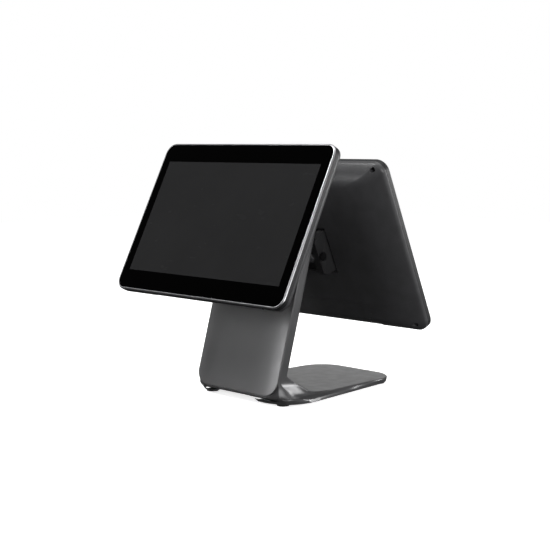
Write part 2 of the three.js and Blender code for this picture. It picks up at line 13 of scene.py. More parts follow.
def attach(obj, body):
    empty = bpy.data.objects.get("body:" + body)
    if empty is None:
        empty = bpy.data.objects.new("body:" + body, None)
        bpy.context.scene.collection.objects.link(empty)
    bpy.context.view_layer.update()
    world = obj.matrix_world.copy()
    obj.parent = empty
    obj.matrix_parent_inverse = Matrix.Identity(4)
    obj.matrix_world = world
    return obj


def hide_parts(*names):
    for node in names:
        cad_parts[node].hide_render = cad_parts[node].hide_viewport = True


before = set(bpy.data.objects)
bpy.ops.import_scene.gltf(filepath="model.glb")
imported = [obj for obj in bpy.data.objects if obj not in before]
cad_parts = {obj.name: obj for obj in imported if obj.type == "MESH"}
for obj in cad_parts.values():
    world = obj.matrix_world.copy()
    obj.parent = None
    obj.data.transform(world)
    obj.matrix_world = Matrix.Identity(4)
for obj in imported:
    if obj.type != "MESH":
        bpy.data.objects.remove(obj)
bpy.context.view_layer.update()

MM = 0.001

# ---------------------------------------------------------------- sizes shared with the CAD model
# Millimetres. A head is drawn in its own frame: X across, depth back from the glass, Z up the screen.
GAP = 0.3
DEPTH_SHIFT = -90.25
PANEL_WIDTH = 384
CORNER_RADIUS = 19
BODY_DEPTH = 38
FRAME_DEPTH = 9.5
WALL = 2.5
GLASS_THICKNESS = 2
PIVOT_DEPTH = 58
PIN_BORE = 5.3
MAIN = {
    "name": "main", "height": 261.3, "band": 10, "lean": 26.77, "centre": (-43.65, 288.05),
    "active": (344.2, 193.6), "turn": 0,
}
SECOND = {
    "name": "second", "height": 296.7, "band": 10, "lean": 24.14, "centre": (185.6, 246),
    "active": (304.1, 228.1), "turn": 180,
}
# How the back falls away: share of the depth, then how far in from the side, the top and the bottom.
BACK_CURVE = (
    (0, 0, 0, 0), (0.1, 0.6, 0.3, 0.3), (0.22, 2.5, 1.5, 1.1), (0.42, 10, 8, 6), (0.63, 21, 16, 11),
    (0.85, 38, 23, 17), (0.95, 54, 28, 21), (0.99, 68, 33, 25), (1, 84, 40, 31),
)
RIM_WALL = 3
RIM_CHAMFER = 1.3
BAY = {"half": 100, "tall": 54, "front": 12.6, "wall": 2.5, "lip": 7}
VENT = {"count": 12, "pitch": 9, "width": 3, "height": 22, "lift": 58}
PORTS = ((-68, 22), (-40, 15), (-19, 15), (2, 17), (26, 18), (52, 24))  # place across, width
PORT_BOARD = (-80, 65)
PORT_DEPTH = (24, 33)
WINDOW = (51, 39)  # half sizes of the opening behind the bracket
RECESS = (53, 41, 2)  # half sizes and depth of the seat round it
BRACKET = (33.3, 36.3)  # depths of the two faces of the plate
BRACKET_HALF_TALL = 38
STANDOFF = (26, 30)
EAR_OUTER = 50
EAR_REACH = 65
BRACKET_SCREW_HEAD = (3.6, 2.6)  # radius, height
BRACKET_SCREW_LENGTH = 12
SHELL_SCREW_HEAD = (3.4, 2.4)
SHELL_SCREW_TIP = 8.4
SHELL_SCREW = (176, 10, 15)  # across, down from the top, up from the bottom
SCREW_SEAT = 15
SEAT_RADIUS = 4.2
BOSS_RADIUS = 5.3
BUTTON = (150, 6.6, 2.1)  # across, depth, radius
HUB_HALF = 34
HUB_ROUND = 11
HUB_BOLTS = (90, 104)  # places along the column
HUB_WINDOW_TOP = 136
HUB_CLEARANCE = 4
WASHER = 1.3
COLUMN_LEAN = 15.9
COLUMN_HALF = 91.8
COLUMN_DEPTH = 21.6
COLUMN_POINT = (21.5, 154.6)  # depth and height of a point on the column's front face
COLUMN_TOP = 297
SPINE_TOP = 267
SPINE_SLOT = (8, 12.6)
COVER_THICKNESS = 3
COVER_BOTTOM = 17
COVER_CORNER = 25
BASE_BOTTOM = 3.3
BASE_BACK = 283
FOOT_SPOTS = {
    "front_left": (-82, 12), "front_right": (82, 12), "rear_left": (-68, 254), "rear_right": (68, 254),
}

# ---------------------------------------------------------------- camera
FOCAL_LENGTH = 80.03
CAMERA_PLACE = (1403.57, -1305.29 + DEPTH_SHIFT, 405.0)
CAMERA_AZIMUTH = 45.48
CAMERA_PITCH = 6.157
SENSOR_WIDTH = 36
FAR_CLIP = 20


def add_camera():
    data = bpy.data.cameras.new("camera")
    data.lens = FOCAL_LENGTH
    data.sensor_width = SENSOR_WIDTH
    data.clip_end = FAR_CLIP
    camera = bpy.data.objects.new("camera", data)
    camera.location = Vector(CAMERA_PLACE) * MM
    camera.rotation_euler = (math.radians(90 - CAMERA_PITCH), 0, math.radians(CAMERA_AZIMUTH))
    bpy.context.scene.collection.objects.link(camera)
    bpy.context.scene.camera = camera


# ---------------------------------------------------------------- materials
NOISE_RANGE = (0.3, 0.7)  # nearly all of a noise texture's values lie between these
RAMP_RANGE = (0.32, 0.68)


def new_material(name, color, roughness, metallic=0.0):
    material = bpy.data.materials.new(name)
    material.use_nodes = True
    shader = material.node_tree.nodes["Principled BSDF"]
    shader.inputs["Base Color"].default_value = (*color, 1)
    shader.inputs["Roughness"].default_value = roughness
    shader.inputs["Metallic"].default_value = metallic
    return material, shader


def noise(material, scale, detail=3.0, stretch=(1, 1, 1)):
    """A noise texture in the object's own metres; returns its factor socket."""
    nodes, links = material.node_tree.nodes, material.node_tree.links
    coordinates = nodes.new("ShaderNodeTexCoord")
    mapping = nodes.new("ShaderNodeMapping")
    mapping.inputs["Scale"].default_value = stretch
    texture = nodes.new("ShaderNodeTexNoise")
    texture.inputs["Scale"].default_value = scale
    texture.inputs["Detail"].default_value = detail
    links.new(coordinates.outputs["Object"], mapping.inputs["Vector"])
    links.new(mapping.outputs["Vector"], texture.inputs["Vector"])
    return texture.outputs["Fac"]


def vary(material, factor, socket, low, high):
    """Drives a number socket of the shader between low and high."""
    nodes, links = material.node_tree.nodes, material.node_tree.links
    spread = nodes.new("ShaderNodeMapRange")
    spread.inputs["From Min"].default_value = NOISE_RANGE[0]
    spread.inputs["From Max"].default_value = NOISE_RANGE[1]
    spread.inputs["To Min"].default_value = low
    spread.inputs["To Max"].default_value = high
    links.new(factor, spread.inputs["Value"])
    links.new(spread.outputs["Result"], socket)


def tint(material, shader, factor, dark, light):
    """Drives the base colour between two near colours."""
    nodes, links = material.node_tree.nodes, material.node_tree.links
    ramp = nodes.new("ShaderNodeValToRGB")
    ramp.color_ramp.elements[0].position = RAMP_RANGE[0]
    ramp.color_ramp.elements[1].position = RAMP_RANGE[1]
    ramp.color_ramp.elements[0].color = (*dark, 1)
    ramp.color_ramp.elements[1].color = (*light, 1)
    links.new(factor, ramp.inputs["Fac"])
    links.new(ramp.outputs["Color"], shader.inputs["Base Color"])


def emboss(material, shader, factor, strength, distance):
    """Bump; distance is in metres."""
    nodes, links = material.node_tree.nodes, material.node_tree.links
    bump = nodes.new("ShaderNodeBump")
    bump.inputs["Strength"].default_value = strength
    bump.inputs["Distance"].default_value = distance
    links.new(factor, bump.inputs["Height"])
    links.new(bump.outputs["Normal"], shader.inputs["Normal"])


def shade(color, share):
    """The same colour, lighter or darker."""
    return tuple(channel * share for channel in color)


def moulded_plastic(name, color, roughness):
    """Spark-textured moulded plastic: fine even grain, slight cloudiness."""
    material, shader = new_material(name, color, roughness)
    tint(material, shader, noise(material, 45), shade(color, 0.9), shade(color, 1.1))
    vary(material, noise(material, 160), shader.inputs["Roughness"], roughness - 0.04, roughness + 0.05)
    emboss(material, shader, noise(material, 2600, 2), 0.25, 0.00012)
    return material


def satin_paint(name, color, roughness, metallic, specular=0.5):
    """Satin coating with very fine metal flake."""
    material, shader = new_material(name, color, roughness, metallic)
    shader.inputs["Specular IOR Level"].default_value = specular
    tint(material, shader, noise(material, 3200, 2), shade(color, 0.92), shade(color, 1.08))
    vary(material, noise(material, 60), shader.inputs["Roughness"], roughness - 0.03, roughness + 0.03)
    emboss(material, shader, noise(material, 1200, 2), 0.06, 0.0001)
    return material


def brushed_metal(name, color, roughness, stretch=(1, 1, 1)):
    """Fine lines where stretch differs between axes, an even grain where it is the same."""
    material, shader = new_material(name, color, roughness, 1.0)
    lines = noise(material, 400, 3, stretch)
    tint(material, shader, lines, shade(color, 0.88), shade(color, 1.1))
    vary(material, lines, shader.inputs["Roughness"], roughness - 0.06, roughness + 0.08)
    emboss(material, shader, lines, 0.15, 0.0001)
    return material


def cover_glass(name, color, roughness, specular):
    """Glossy touch glass with faint finger smears in its gloss."""
    material, shader = new_material(name, color, roughness)
    shader.inputs["Specular IOR Level"].default_value = specular
    smears = noise(material, 26, 4, (1, 1, 2.5))
    vary(material, smears, shader.inputs["Roughness"], roughness, roughness + 0.06)
    tint(material, shader, noise(material, 14), shade(color, 0.96), shade(color, 1.04))
    return material


def rubber(name):
    """Dull rubber with a powdery, pitted face."""
    color = (0.012, 0.012, 0.012)
    material, shader = new_material(name, color, 0.85)
    tint(material, shader, noise(material, 300), shade(color, 0.8), shade(color, 1.3))
    emboss(material, shader, noise(material, 1500, 4), 0.4, 0.0002)
    return material


def zinc_sheet(name):
    """Plated sheet steel with soft spangle."""
    color = (0.42, 0.43, 0.44)
    material, shader = new_material(name, color, 0.38, 1.0)
    tint(material, shader, noise(material, 120, 5), shade(color, 0.8), shade(color, 1.12))
    vary(material, noise(material, 90, 4), shader.inputs["Roughness"], 0.3, 0.5)
    return material


def circuit_board(name):
    """Solder mask with raised copper tracks under it."""
    color = (0.012, 0.07, 0.028)
    material, shader = new_material(name, color, 0.35)
    nodes, links = material.node_tree.nodes, material.node_tree.links
    coordinates = nodes.new("ShaderNodeTexCoord")
    tracks = nodes.new("ShaderNodeTexBrick")
    tracks.inputs["Scale"].default_value = 90
    tracks.inputs["Mortar Size"].default_value = 0.05
    tracks.inputs["Color1"].default_value = (*color, 1)
    tracks.inputs["Color2"].default_value = (*shade(color, 0.8), 1)
    tracks.inputs["Mortar"].default_value = (0.05, 0.16, 0.06, 1)
    links.new(coordinates.outputs["Object"], tracks.inputs["Vector"])
    links.new(tracks.outputs["Color"], shader.inputs["Base Color"])
    emboss(material, shader, tracks.outputs["Fac"], 0.3, 0.0001)
    return material


SHELL = moulded_plastic("shell_plastic", (0.038, 0.038, 0.04), 0.42)
STAND = satin_paint("stand_coating", (0.06, 0.06, 0.062), 0.33, 0.3)
COVER = satin_paint("cover_coating", (0.085, 0.085, 0.087), 0.34, 0.45)
RIM = brushed_metal("rim_metal", (0.34, 0.34, 0.35), 0.32, (1, 30, 30))
RIM_SIDE = satin_paint("rim_side", (0.014, 0.014, 0.015), 0.5, 0.0, 0.22)
BEZEL = cover_glass("bezel_glass", (0.0003, 0.0003, 0.0003), 0.06, 0.01)
SCREEN = cover_glass("screen_area", (0.0115, 0.0115, 0.0118), 0.22, 0.02)
CASTING = satin_paint("casting_paint", (0.016, 0.016, 0.017), 0.55, 0.2)
BLACK_STEEL = brushed_metal("black_screw", (0.06, 0.06, 0.062), 0.35)
SOCKET_METAL = brushed_metal("socket_metal", (0.55, 0.55, 0.55), 0.3)
SOCKET_DARK = moulded_plastic("socket_plastic", (0.01, 0.01, 0.011), 0.5)
ZINC = zinc_sheet("zinc_sheet")
ALUMINIUM = brushed_metal("bare_aluminium", (0.7, 0.71, 0.72), 0.35, (1, 1, 20))
BOARD = circuit_board("solder_mask")
RUBBER = rubber("foot_rubber")


# ---------------------------------------------------------------- mesh helpers, all in mm
def place_in_head(head):
    """From a head's own frame (glass at depth 0, up the screen is Z) to the world, in metres."""
    depth, height = head["centre"]
    return (Matrix.Scale(MM, 4) @ Matrix.Translation((0, depth + DEPTH_SHIFT, height))
            @ Matrix.Rotation(math.radians(head["turn"]), 4, "Z")
            @ Matrix.Rotation(math.radians(-head["lean"]), 4, "X"))


IN_STAND = Matrix.Scale(MM, 4) @ Matrix.Translation((0, DEPTH_SHIFT, 0))
IN_COLUMN = (IN_STAND @ Matrix.Translation((0, *COLUMN_POINT))
             @ Matrix.Rotation(math.radians(-COLUMN_LEAN), 4, "X"))


def mesh_object(name, bm):
    bmesh.ops.recalc_face_normals(bm, faces=bm.faces)
    mesh = bpy.data.meshes.new(name)
    bm.to_mesh(mesh)
    bm.free()
    piece = bpy.data.objects.new(name, mesh)
    bpy.context.scene.collection.objects.link(piece)
    return piece


def rows_of(bm, rings):
    return [[bm.verts.new(point) for point in ring] for ring in rings]


def band(bm, lower, upper):
    """The faces between two closed rows with the same number of vertices."""
    count = len(lower)
    faces = []
    for i in range(count):
        j = (i + 1) % count
        faces.append(bm.faces.new((lower[i], lower[j], upper[j], upper[i])))
    return faces


def loft(rings):
    """Closed skin over rings, with a flat face at each end."""
    bm = bmesh.new()
    rows = rows_of(bm, rings)
    for lower, upper in zip(rows, rows[1:]):
        band(bm, lower, upper)
    bm.faces.new(rows[0])
    bm.faces.new(rows[-1])
    return mesh_object("form", bm)


def arc(cx, cz, radius, start, steps=12):
    """A quarter turn from the start angle, in degrees."""
    points = []
    for i in range(steps + 1):
        angle = math.radians(start + 90 * i / steps)
        points.append((cx + radius * math.cos(angle), cz + radius * math.sin(angle)))
    return points


def circle(across, up, radius, steps):
    angles = [math.tau * i / steps for i in range(steps)]
    return [(across + radius * math.cos(angle), up + radius * math.sin(angle)) for angle in angles]


def smooth_between(rows, steps=6):
    """Catmull-Rom through rows of numbers."""
    last = len(rows) - 1
    result = []
    for i in range(last):
        before, start, end, after = (rows[max(i - 1, 0)], rows[i], rows[i + 1], rows[min(i + 2, last)])
        for step in range(steps):
            t = step / steps
            result.append([
                0.5 * (2 * b + (c - a) * t + (2 * a - 5 * b + 4 * c - d) * t * t
                       + (3 * b - a - 3 * c + d) * t ** 3)
                for a, b, c, d in zip(before, start, end, after)])
    result.append(list(rows[-1]))
    return result


def screen_ring(depth, left, right, low, high, radius, steps=12):
    """A rectangle with round corners, upright at one depth."""
    corners = (
        arc(right - radius, high - radius, radius, 0, steps=steps)
        + arc(left + radius, high - radius, radius, 90, steps=steps)
        + arc(left + radius, low + radius, radius, 180, steps=steps)
        + arc(right - radius, low + radius, radius, 270, steps=steps))
    return [(x, depth, z) for x, z in corners]


def middle_of(span):
    return (span[0] + span[1]) / 2


def box(x, y, z):
    """A block between the lowest and highest value on each axis."""
    bm = bmesh.new()
    bmesh.ops.create_cube(bm, size=1)
    for vertex in bm.verts:
        vertex.co = [middle_of(span) + share * (span[1] - span[0])
                     for span, share in zip((x, y, z), vertex.co)]
    return mesh_object("tool", bm)


def rod(axis, radius, start, end, a, b, segments=32):
    """A cylinder along one axis; a and b are its place on the other two, in X, Y, Z order."""
    middle = (start + end) / 2
    turn, place = {
        "x": (Matrix.Rotation(math.radians(90), 4, "Y"), (middle, a, b)),
        "y": (Matrix.Rotation(math.radians(90), 4, "X"), (a, middle, b)),
        "z": (Matrix.Identity(4), (a, b, middle)),
    }[axis]
    bm = bmesh.new()
    bmesh.ops.create_cone(bm, cap_ends=True, segments=segments, radius1=radius, radius2=radius,
                          depth=end - start)
    bmesh.ops.transform(bm, matrix=Matrix.Translation(place) @ turn, verts=bm.verts)
    return mesh_object("tool", bm)


def slab(outline, half):
    """A polygon of (depth, height) points drawn out along X."""
    return loft([[(x, y, z) for y, z in outline] for x in (-half, half)])


def settle(piece):
    """Applies the piece's modifiers to its mesh."""
    depsgraph = bpy.context.evaluated_depsgraph_get()
    mesh = bpy.data.meshes.new_from_object(piece.evaluated_get(depsgraph))
    piece.modifiers.clear()
    piece.data = mesh
    return piece


def combine(piece, tools, operation):
    """Applies a boolean with each tool in turn, and removes the tools."""
    for tool in tools:
        modifier = piece.modifiers.new("cut", "BOOLEAN")
        modifier.object = tool
        modifier.operation = operation
        modifier.solver = "EXACT"
        settle(piece)
        bpy.data.objects.remove(tool)
    return piece


def cut(piece, *tools):
    return combine(piece, tools, "DIFFERENCE")


def join(piece, *tools):
    return combine(piece, tools, "UNION")


def keep(piece, *tools):
    return combine(piece, tools, "INTERSECT")


def soften(piece, width, segments=2):
    """Rounds every edge that turns by more than 35 degrees."""
    bevel = piece.modifiers.new("soften", "BEVEL")
    bevel.width = width
    bevel.segments = segments
    bevel.limit_method = "ANGLE"
    bevel.angle_limit = math.radians(35)
    return settle(piece)


def finish_piece(piece, node, ending, place, body, materials, smooth=30):
    """Puts the piece in the world, in the place of a CAD node, and dresses it.

    Booleans leave empty material slots, which are filled here without touching the faces' indices.
    Edges that turn by more than smooth degrees stay sharp.
    """
    piece.data.transform(place)
    piece.name = f"{node}_{ending}"
    piece.data.name = piece.name
    slots = piece.data.materials
    while len(slots) > len(materials):
        slots.pop()
    for i, material in enumerate(materials):
        if i < len(slots):
            slots[i] = material
        else:
            slots.append(material)
    piece.data.shade_smooth()
    piece.data.set_sharp_from_angle(angle=math.radians(smooth))
    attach(piece, body)
    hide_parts(node)


def finish_in_head(piece, head, part, ending, materials, smooth=30):
    name = head["name"]
    finish_piece(piece, f"{name}_{part}", ending, place_in_head(head), f"{name}_head",
                 materials, smooth)


# ---------------------------------------------------------------- screen heads
HEAD_CORNER_STEPS = 14
BACK_CORNER_LOSS = 9  # how much tighter the corners are at the back
BOSS_START = 12


def head_ring(head, depth, inset):
    half = PANEL_WIDTH / 2 - inset
    tall = head["height"] / 2 - inset
    radius = max(CORNER_RADIUS - inset, 0.5)
    return screen_ring(depth, -half, half, -tall, tall, radius, HEAD_CORNER_STEPS)


# The rim's section as depth and inset: round the side band first, then over the chamfer to the glass.
RIM_SECTION = [
    (FRAME_DEPTH, RIM_WALL + 0.4), (FRAME_DEPTH, 0.35), (FRAME_DEPTH - 0.4, 0), (RIM_CHAMFER + 1.1, 0),
    (RIM_CHAMFER + 0.9, 0.05), (RIM_CHAMFER + 0.5, 0.3), (0.35, RIM_CHAMFER + 0.1),
    (0.08, RIM_CHAMFER + 0.5), (0.02, RIM_WALL - 0.3), (0.3, RIM_WALL), (FRAME_DEPTH - 2, RIM_WALL),
]
SILVER_ROWS = range(4, 9)


def add_rim(head):
    """Silver chamfer around the glass, dark side band behind it."""
    bm = bmesh.new()
    rows = rows_of(bm, [head_ring(head, depth, inset) for depth, inset in RIM_SECTION])
    for i, lower in enumerate(rows):
        for face in band(bm, lower, rows[(i + 1) % len(rows)]):
            face.material_index = 0 if i in SILVER_ROWS else 1
    piece = mesh_object("rim", bm)
    if head is MAIN:
        low = -head["height"] / 2
        cut(piece, rod("z", BUTTON[2] + GAP, low - 2, low + 4, BUTTON[0], BUTTON[1]))
    finish_in_head(piece, head, "frame", "rim", [RIM, RIM_SIDE])


def add_glass(head):
    """Glass plate with the lit area as its own face, set in a painted black border."""
    edge = RIM_WALL + GAP
    half_x, half_z = head["active"][0] / 2, head["active"][1] / 2
    bm = bmesh.new()
    rows = rows_of(bm, [
        head_ring(head, GLASS_THICKNESS, edge), head_ring(head, 0.3, edge),
        head_ring(head, 0.08, edge + 0.08), head_ring(head, 0, edge + 0.3),
        screen_ring(0, -half_x, half_x, -half_z, half_z, 0.6, HEAD_CORNER_STEPS),
    ])
    for lower, upper in zip(rows, rows[1:]):
        band(bm, lower, upper)
    bm.faces.new(rows[0])
    bm.faces.new(rows[-1]).material_index = 1
    piece = mesh_object("glass", bm)
    finish_in_head(piece, head, "touch_glass", "plate", [BEZEL, SCREEN], 12)


def back_form(head, inset):
    """The rounded back of a head; with an inset, the hollow inside it."""
    half = PANEL_WIDTH / 2 - inset
    tall = head["height"] / 2 - inset
    deep = BODY_DEPTH - inset - head["band"]
    start = FRAME_DEPTH - 5 if inset else FRAME_DEPTH + 0.06
    radius = CORNER_RADIUS - inset
    rings = [screen_ring(start, -half, half, -tall, tall, radius)]
    for rise, from_side, from_top, from_bottom in smooth_between(BACK_CURVE, 4):
        side = half - from_side
        rings.append(screen_ring(head["band"] + deep * rise, -side, side,
                                 from_bottom - tall, tall - from_top, radius - BACK_CORNER_LOSS * rise))
    return loft(rings)


def back_shell(head):
    return cut(back_form(head, 0), back_form(head, WALL))


def shell_screw_spots(head):
    x, from_top, from_bottom = SHELL_SCREW
    high = head["height"] / 2 - from_top
    low = from_bottom - head["height"] / 2
    return [(-x, high), (x, high), (-x, low), (x, low)]


def bracket_spots():
    return [(x, z) for x in (-STANDOFF[0], STANDOFF[0]) for z in (-STANDOFF[1], STANDOFF[1])]


def shell_inside(head):
    """The bay's tub, the pad behind the bracket and the screw bosses, kept within the back's form."""
    low = -head["height"] / 2
    half, wall = BAY["half"], BAY["wall"]
    recess_x, recess_z, recess_deep = RECESS
    tub = box((-half - wall, half + wall), (BAY["front"] - wall, BODY_DEPTH - 0.05),
              (low + 0.05, low + BAY["tall"] + wall))
    pad = box((-recess_x - WALL, recess_x + WALL), (BODY_DEPTH - recess_deep - WALL, BODY_DEPTH - 1),
              (-recess_z - WALL, recess_z + WALL))
    bosses = [rod("y", BOSS_RADIUS, BOSS_START, BODY_DEPTH - 1, x, z) for x, z in shell_screw_spots(head)]
    return keep(back_form(head, 0), join(tub, pad, *bosses))


def shell_openings(head):
    low = -head["height"] / 2
    half, tall = BAY["half"], BAY["tall"]
    recess_x, recess_z, recess_deep = RECESS
    past = BODY_DEPTH + 1
    tools = [
        box((-recess_x, recess_x), (BODY_DEPTH - recess_deep, past), (-recess_z, recess_z)),
        box((-WINDOW[0], WINDOW[0]), (BODY_DEPTH - 12, past), (-WINDOW[1], WINDOW[1])),
        box((-half, half), (BAY["front"], past), (low - 2, low + tall)),
        box((PORT_BOARD[0] - 1, PORT_BOARD[1] + 1), (PORT_DEPTH[0] - 0.5, PORT_DEPTH[1] + 0.5),
            (low + tall - 1, low + tall + BAY["wall"] + 1)),
    ]
    for x, z in shell_screw_spots(head):
        tools.append(rod("y", SEAT_RADIUS, SCREW_SEAT, past, x, z))
    if head is MAIN:
        for i in range(VENT["count"]):
            x = (i - (VENT["count"] - 1) / 2) * VENT["pitch"]
            tools.append(box((x - VENT["width"] / 2, x + VENT["width"] / 2), (BODY_DEPTH - 6, past),
                             (VENT["lift"], VENT["lift"] + VENT["height"])))
    return tools


def add_rear_shell(head):
    piece = join(back_shell(head), shell_inside(head))
    cut(piece, *shell_openings(head))
    finish_in_head(piece, head, "rear_shell", "skin", [SHELL], 28)


def add_port_cover(head):
    low = -head["height"] / 2
    region = box((GAP - BAY["half"], BAY["half"] - GAP), (BAY["front"] + 2, BODY_DEPTH + 1),
                 (low + BAY["lip"], low + BAY["tall"] - GAP))
    piece = keep(back_shell(head), region)
    finish_in_head(piece, head, "port_cover", "panel", [SHELL], 28)


def socket(x, width, ceiling):
    """A metal shell open at its lower end, with a tongue inside."""
    front, back = PORT_DEPTH
    shell_wall, tongue_gap = 0.8, 2.4
    shell = box((x - width / 2, x + width / 2), PORT_DEPTH, (ceiling - 1, ceiling + 14))
    mouth = box((x - width / 2 + shell_wall, x + width / 2 - shell_wall),
                (front + shell_wall, back - shell_wall), (ceiling - 2, ceiling + 8))
    tongue = box((x - width / 2 + tongue_gap, x + width / 2 - tongue_gap),
                 (front + tongue_gap + 1, back - tongue_gap - 1), (ceiling, ceiling + 8.5))
    return join(cut(shell, mouth), tongue)


def add_ports(head):
    """Sockets on a board of their own, open towards the bay below."""
    ceiling = BAY["tall"] - head["height"] / 2
    piece = box(PORT_BOARD, (PORT_DEPTH[0] + 1, PORT_DEPTH[0] + 2.6), (ceiling + 3.5, ceiling + 21.5))
    for x, width in PORTS:
        join(piece, socket(x, width, ceiling))
    finish_in_head(piece, head, "ports", "row", [SOCKET_METAL])


def add_bracket(head):
    """Plate with two ears, edges rounded as on a casting."""
    front, back = BRACKET
    plate = loft([screen_ring(depth, -EAR_OUTER, EAR_OUTER, -BRACKET_HALF_TALL, BRACKET_HALF_TALL, 4, 6)
                  for depth in BRACKET])
    inner = HUB_HALF + WASHER + 2 * GAP
    half = (EAR_OUTER - inner) / 2
    outline = [(back - 1, -36), (EAR_REACH - 6, -33), (EAR_REACH, -27),
               (EAR_REACH, 27), (EAR_REACH - 6, 33), (back - 1, 36)]
    for side in (-1, 1):
        ear = slab(outline, half)
        ear.data.transform(Matrix.Translation((side * (inner + half), 0, 0)))
        join(plate, ear)
    holes = [rod("y", 2.2, front - 1, back + 1, x, z) for x, z in bracket_spots()]
    cut(plate, rod("x", PIN_BORE, -EAR_OUTER - 1, EAR_OUTER + 1, PIVOT_DEPTH, 0, 48), *holes)
    soften(plate, 1.0, 3)
    finish_in_head(plate, head, "hinge_bracket", "casting", [CASTING])


def screw(x, z, seat, tip, head_size):
    """Cap screw with a domed head and a hexagon socket."""
    radius, height = head_size
    top = seat + height
    profile = [(tip, 0.01), (tip, 1.5), (seat, 1.7), (seat, radius), (seat + height * 0.75, radius),
               (seat + height * 0.95, radius * 0.85), (top, radius * 0.62), (top, 0.01)]
    rings = [[(across, depth, up) for across, up in circle(x, z, reach, 28)] for depth, reach in profile]
    return cut(loft(rings), rod("y", radius * 0.5, seat + height * 0.4, top + 1, x, z, 6))


def add_screws(head):
    for i, (x, z) in enumerate(bracket_spots()):
        piece = screw(x, z, BRACKET[1] + GAP, BRACKET[0] - BRACKET_SCREW_LENGTH, BRACKET_SCREW_HEAD)
        finish_in_head(piece, head, f"bracket_screw_{i + 1}", "turned", [BLACK_STEEL])
    for i, (x, z) in enumerate(shell_screw_spots(head)):
        piece = screw(x, z, SCREW_SEAT + GAP, SHELL_SCREW_TIP, SHELL_SCREW_HEAD)
        finish_in_head(piece, head, f"shell_screw_{i + 1}", "turned", [BLACK_STEEL])


def add_power_button():
    """Dished cap under the rim, with a flange inside that keeps it in."""
    low = -MAIN["height"] / 2
    across, depth, radius = BUTTON
    profile = [(low - 0.9, 0.01), (low - 0.95, radius * 0.5), (low - 1.2, radius * 0.85),
               (low - 1, radius * 0.97), (low - 0.7, radius), (low + 5, radius), (low + 5, 0.01)]
    rings = [[(x, y, height) for x, y in circle(across, depth, reach, 32)] for height, reach in profile]
    flange = box((across - 6, across + 6), (depth - 2, depth + 2), (low + 3.9, low + 5.4))
    piece = join(loft(rings), flange)
    finish_piece(piece, "main_power_button", "cap", place_in_head(MAIN), "power_button",
                 [RIM_SIDE])


# ---------------------------------------------------------------- stand
LEAN = math.radians(COLUMN_LEAN)
DIAGONAL = 0.7071
CREASE_OUT = 0.06  # how far past a round corner the crease stands, as a share of the radius
CREASE_PULL = 0.36
CORNER_STEPS = 16


def face_depth(height):
    """Depth of the column's front face at a height."""
    return COLUMN_POINT[0] + (height - COLUMN_POINT[1]) * math.tan(LEAN)


def along_at(height):
    """Place along the column that is at a height."""
    return (height - COLUMN_POINT[1]) / math.cos(LEAN)


def bent_between(start, pull, end, t):
    """A point on the curve from start to end that leans towards pull."""
    return start * (1 - t) ** 2 + pull * (2 * t * (1 - t)) + end * t * t


def creased_corner(cx, cy, radius, crease):
    """A front corner of two shallow arcs that meet in a crease; crease 0 is a plain quarter round."""
    half_steps = CORNER_STEPS // 2
    plain = arc(cx, cy, radius, -90, CORNER_STEPS)
    out = radius * (DIAGONAL + CREASE_OUT * crease)
    corner = Vector((cx + out, cy - out))
    start, end = Vector(plain[0]), Vector(plain[-1])
    front_pull = Vector((corner.x - radius * CREASE_PULL, start.y))
    side_pull = Vector((end.x, corner.y + radius * CREASE_PULL))
    points = []
    for i, point in enumerate(plain):
        t = i / half_steps
        if i <= half_steps:
            bent = bent_between(start, front_pull, corner, t)
        else:
            bent = bent_between(corner, side_pull, end, t - 1)
        points.append(tuple(Vector(point).lerp(bent, crease)))
    return points


def plan_ring(height, front, back, half_front, half_back, front_radius, back_radius,
              crease=0, waist=None):
    """Outline seen from above; waist is a point where the side bends."""
    start = (half_front, front + front_radius)
    end = (half_back, back - back_radius)
    middle = waist or ((start[0] + end[0]) / 2, (start[1] + end[1]) / 2)
    side = smooth_between([start, middle, end], 6)[1:-1]
    right = (creased_corner(half_front - front_radius, front + front_radius, front_radius, crease)
             + [tuple(point) for point in side]
             + arc(half_back - back_radius, back - back_radius, back_radius, 0, CORNER_STEPS))
    left = [(-x, y) for x, y in reversed(right)]
    return [(x, y, height) for x, y in right + left]


# The foot from the floor up: height, front, back, half widths, corner radii, crease, and the point
# where the side bends.
FOOT_SKIRT = [
    (BASE_BOTTOM, -6, BASE_BACK - 0.9, 109.6, 87.6, 54, 50, 1, 104, 100),
    (4.2, -6.4, BASE_BACK - 0.3, 109.9, 88.2, 54, 50, 1, 104.1, 100),
    (8, -9, BASE_BACK, 109.2, 89, 52, 50, 1, 103.2, 100),
    (10.4, -11.2, BASE_BACK - 0.3, 107.7, 89.7, 48.5, 49.8, 1, 100.6, 100),
    (11.7, -12.8, BASE_BACK - 1.2, 105.8, 89.3, 46, 48.8, 1, 97.6, 100),
    (12.4, -13.7, BASE_BACK - 3, 103.9, 88.5, 45, 47, 1, 94.5, 100),
    (12.44, -14, BASE_BACK - 6, 103.7, 86, 44.5, 45, 1, 94.6, 96),
]
FOOT_RAMP = [
    (12.46, -14.3, 118, 103.5, 92.8, 44, 12, 1, 94.8, 85),
    (14.2, -15, 88, 102, 92.9, 40, 9, 1, 96, 66),
    (18, -14, 65, 99.4, 93, 31, 8, 1, 96.4, 45),
    (27, -11.5, 46, 95.7, 92.4, 20, 6.5, 1, 94.1, 30),
    (36, -8.9, 29, 92.4, 92, 7, 5, 0.7, 92.2, 13),
    (47, -5.7, 14, 91.8, 91.8, 1.5, 5, 0, 91.8, 3),
]
SHELL_WALL = 2.6
SHELL_OPEN_FRONT = 8


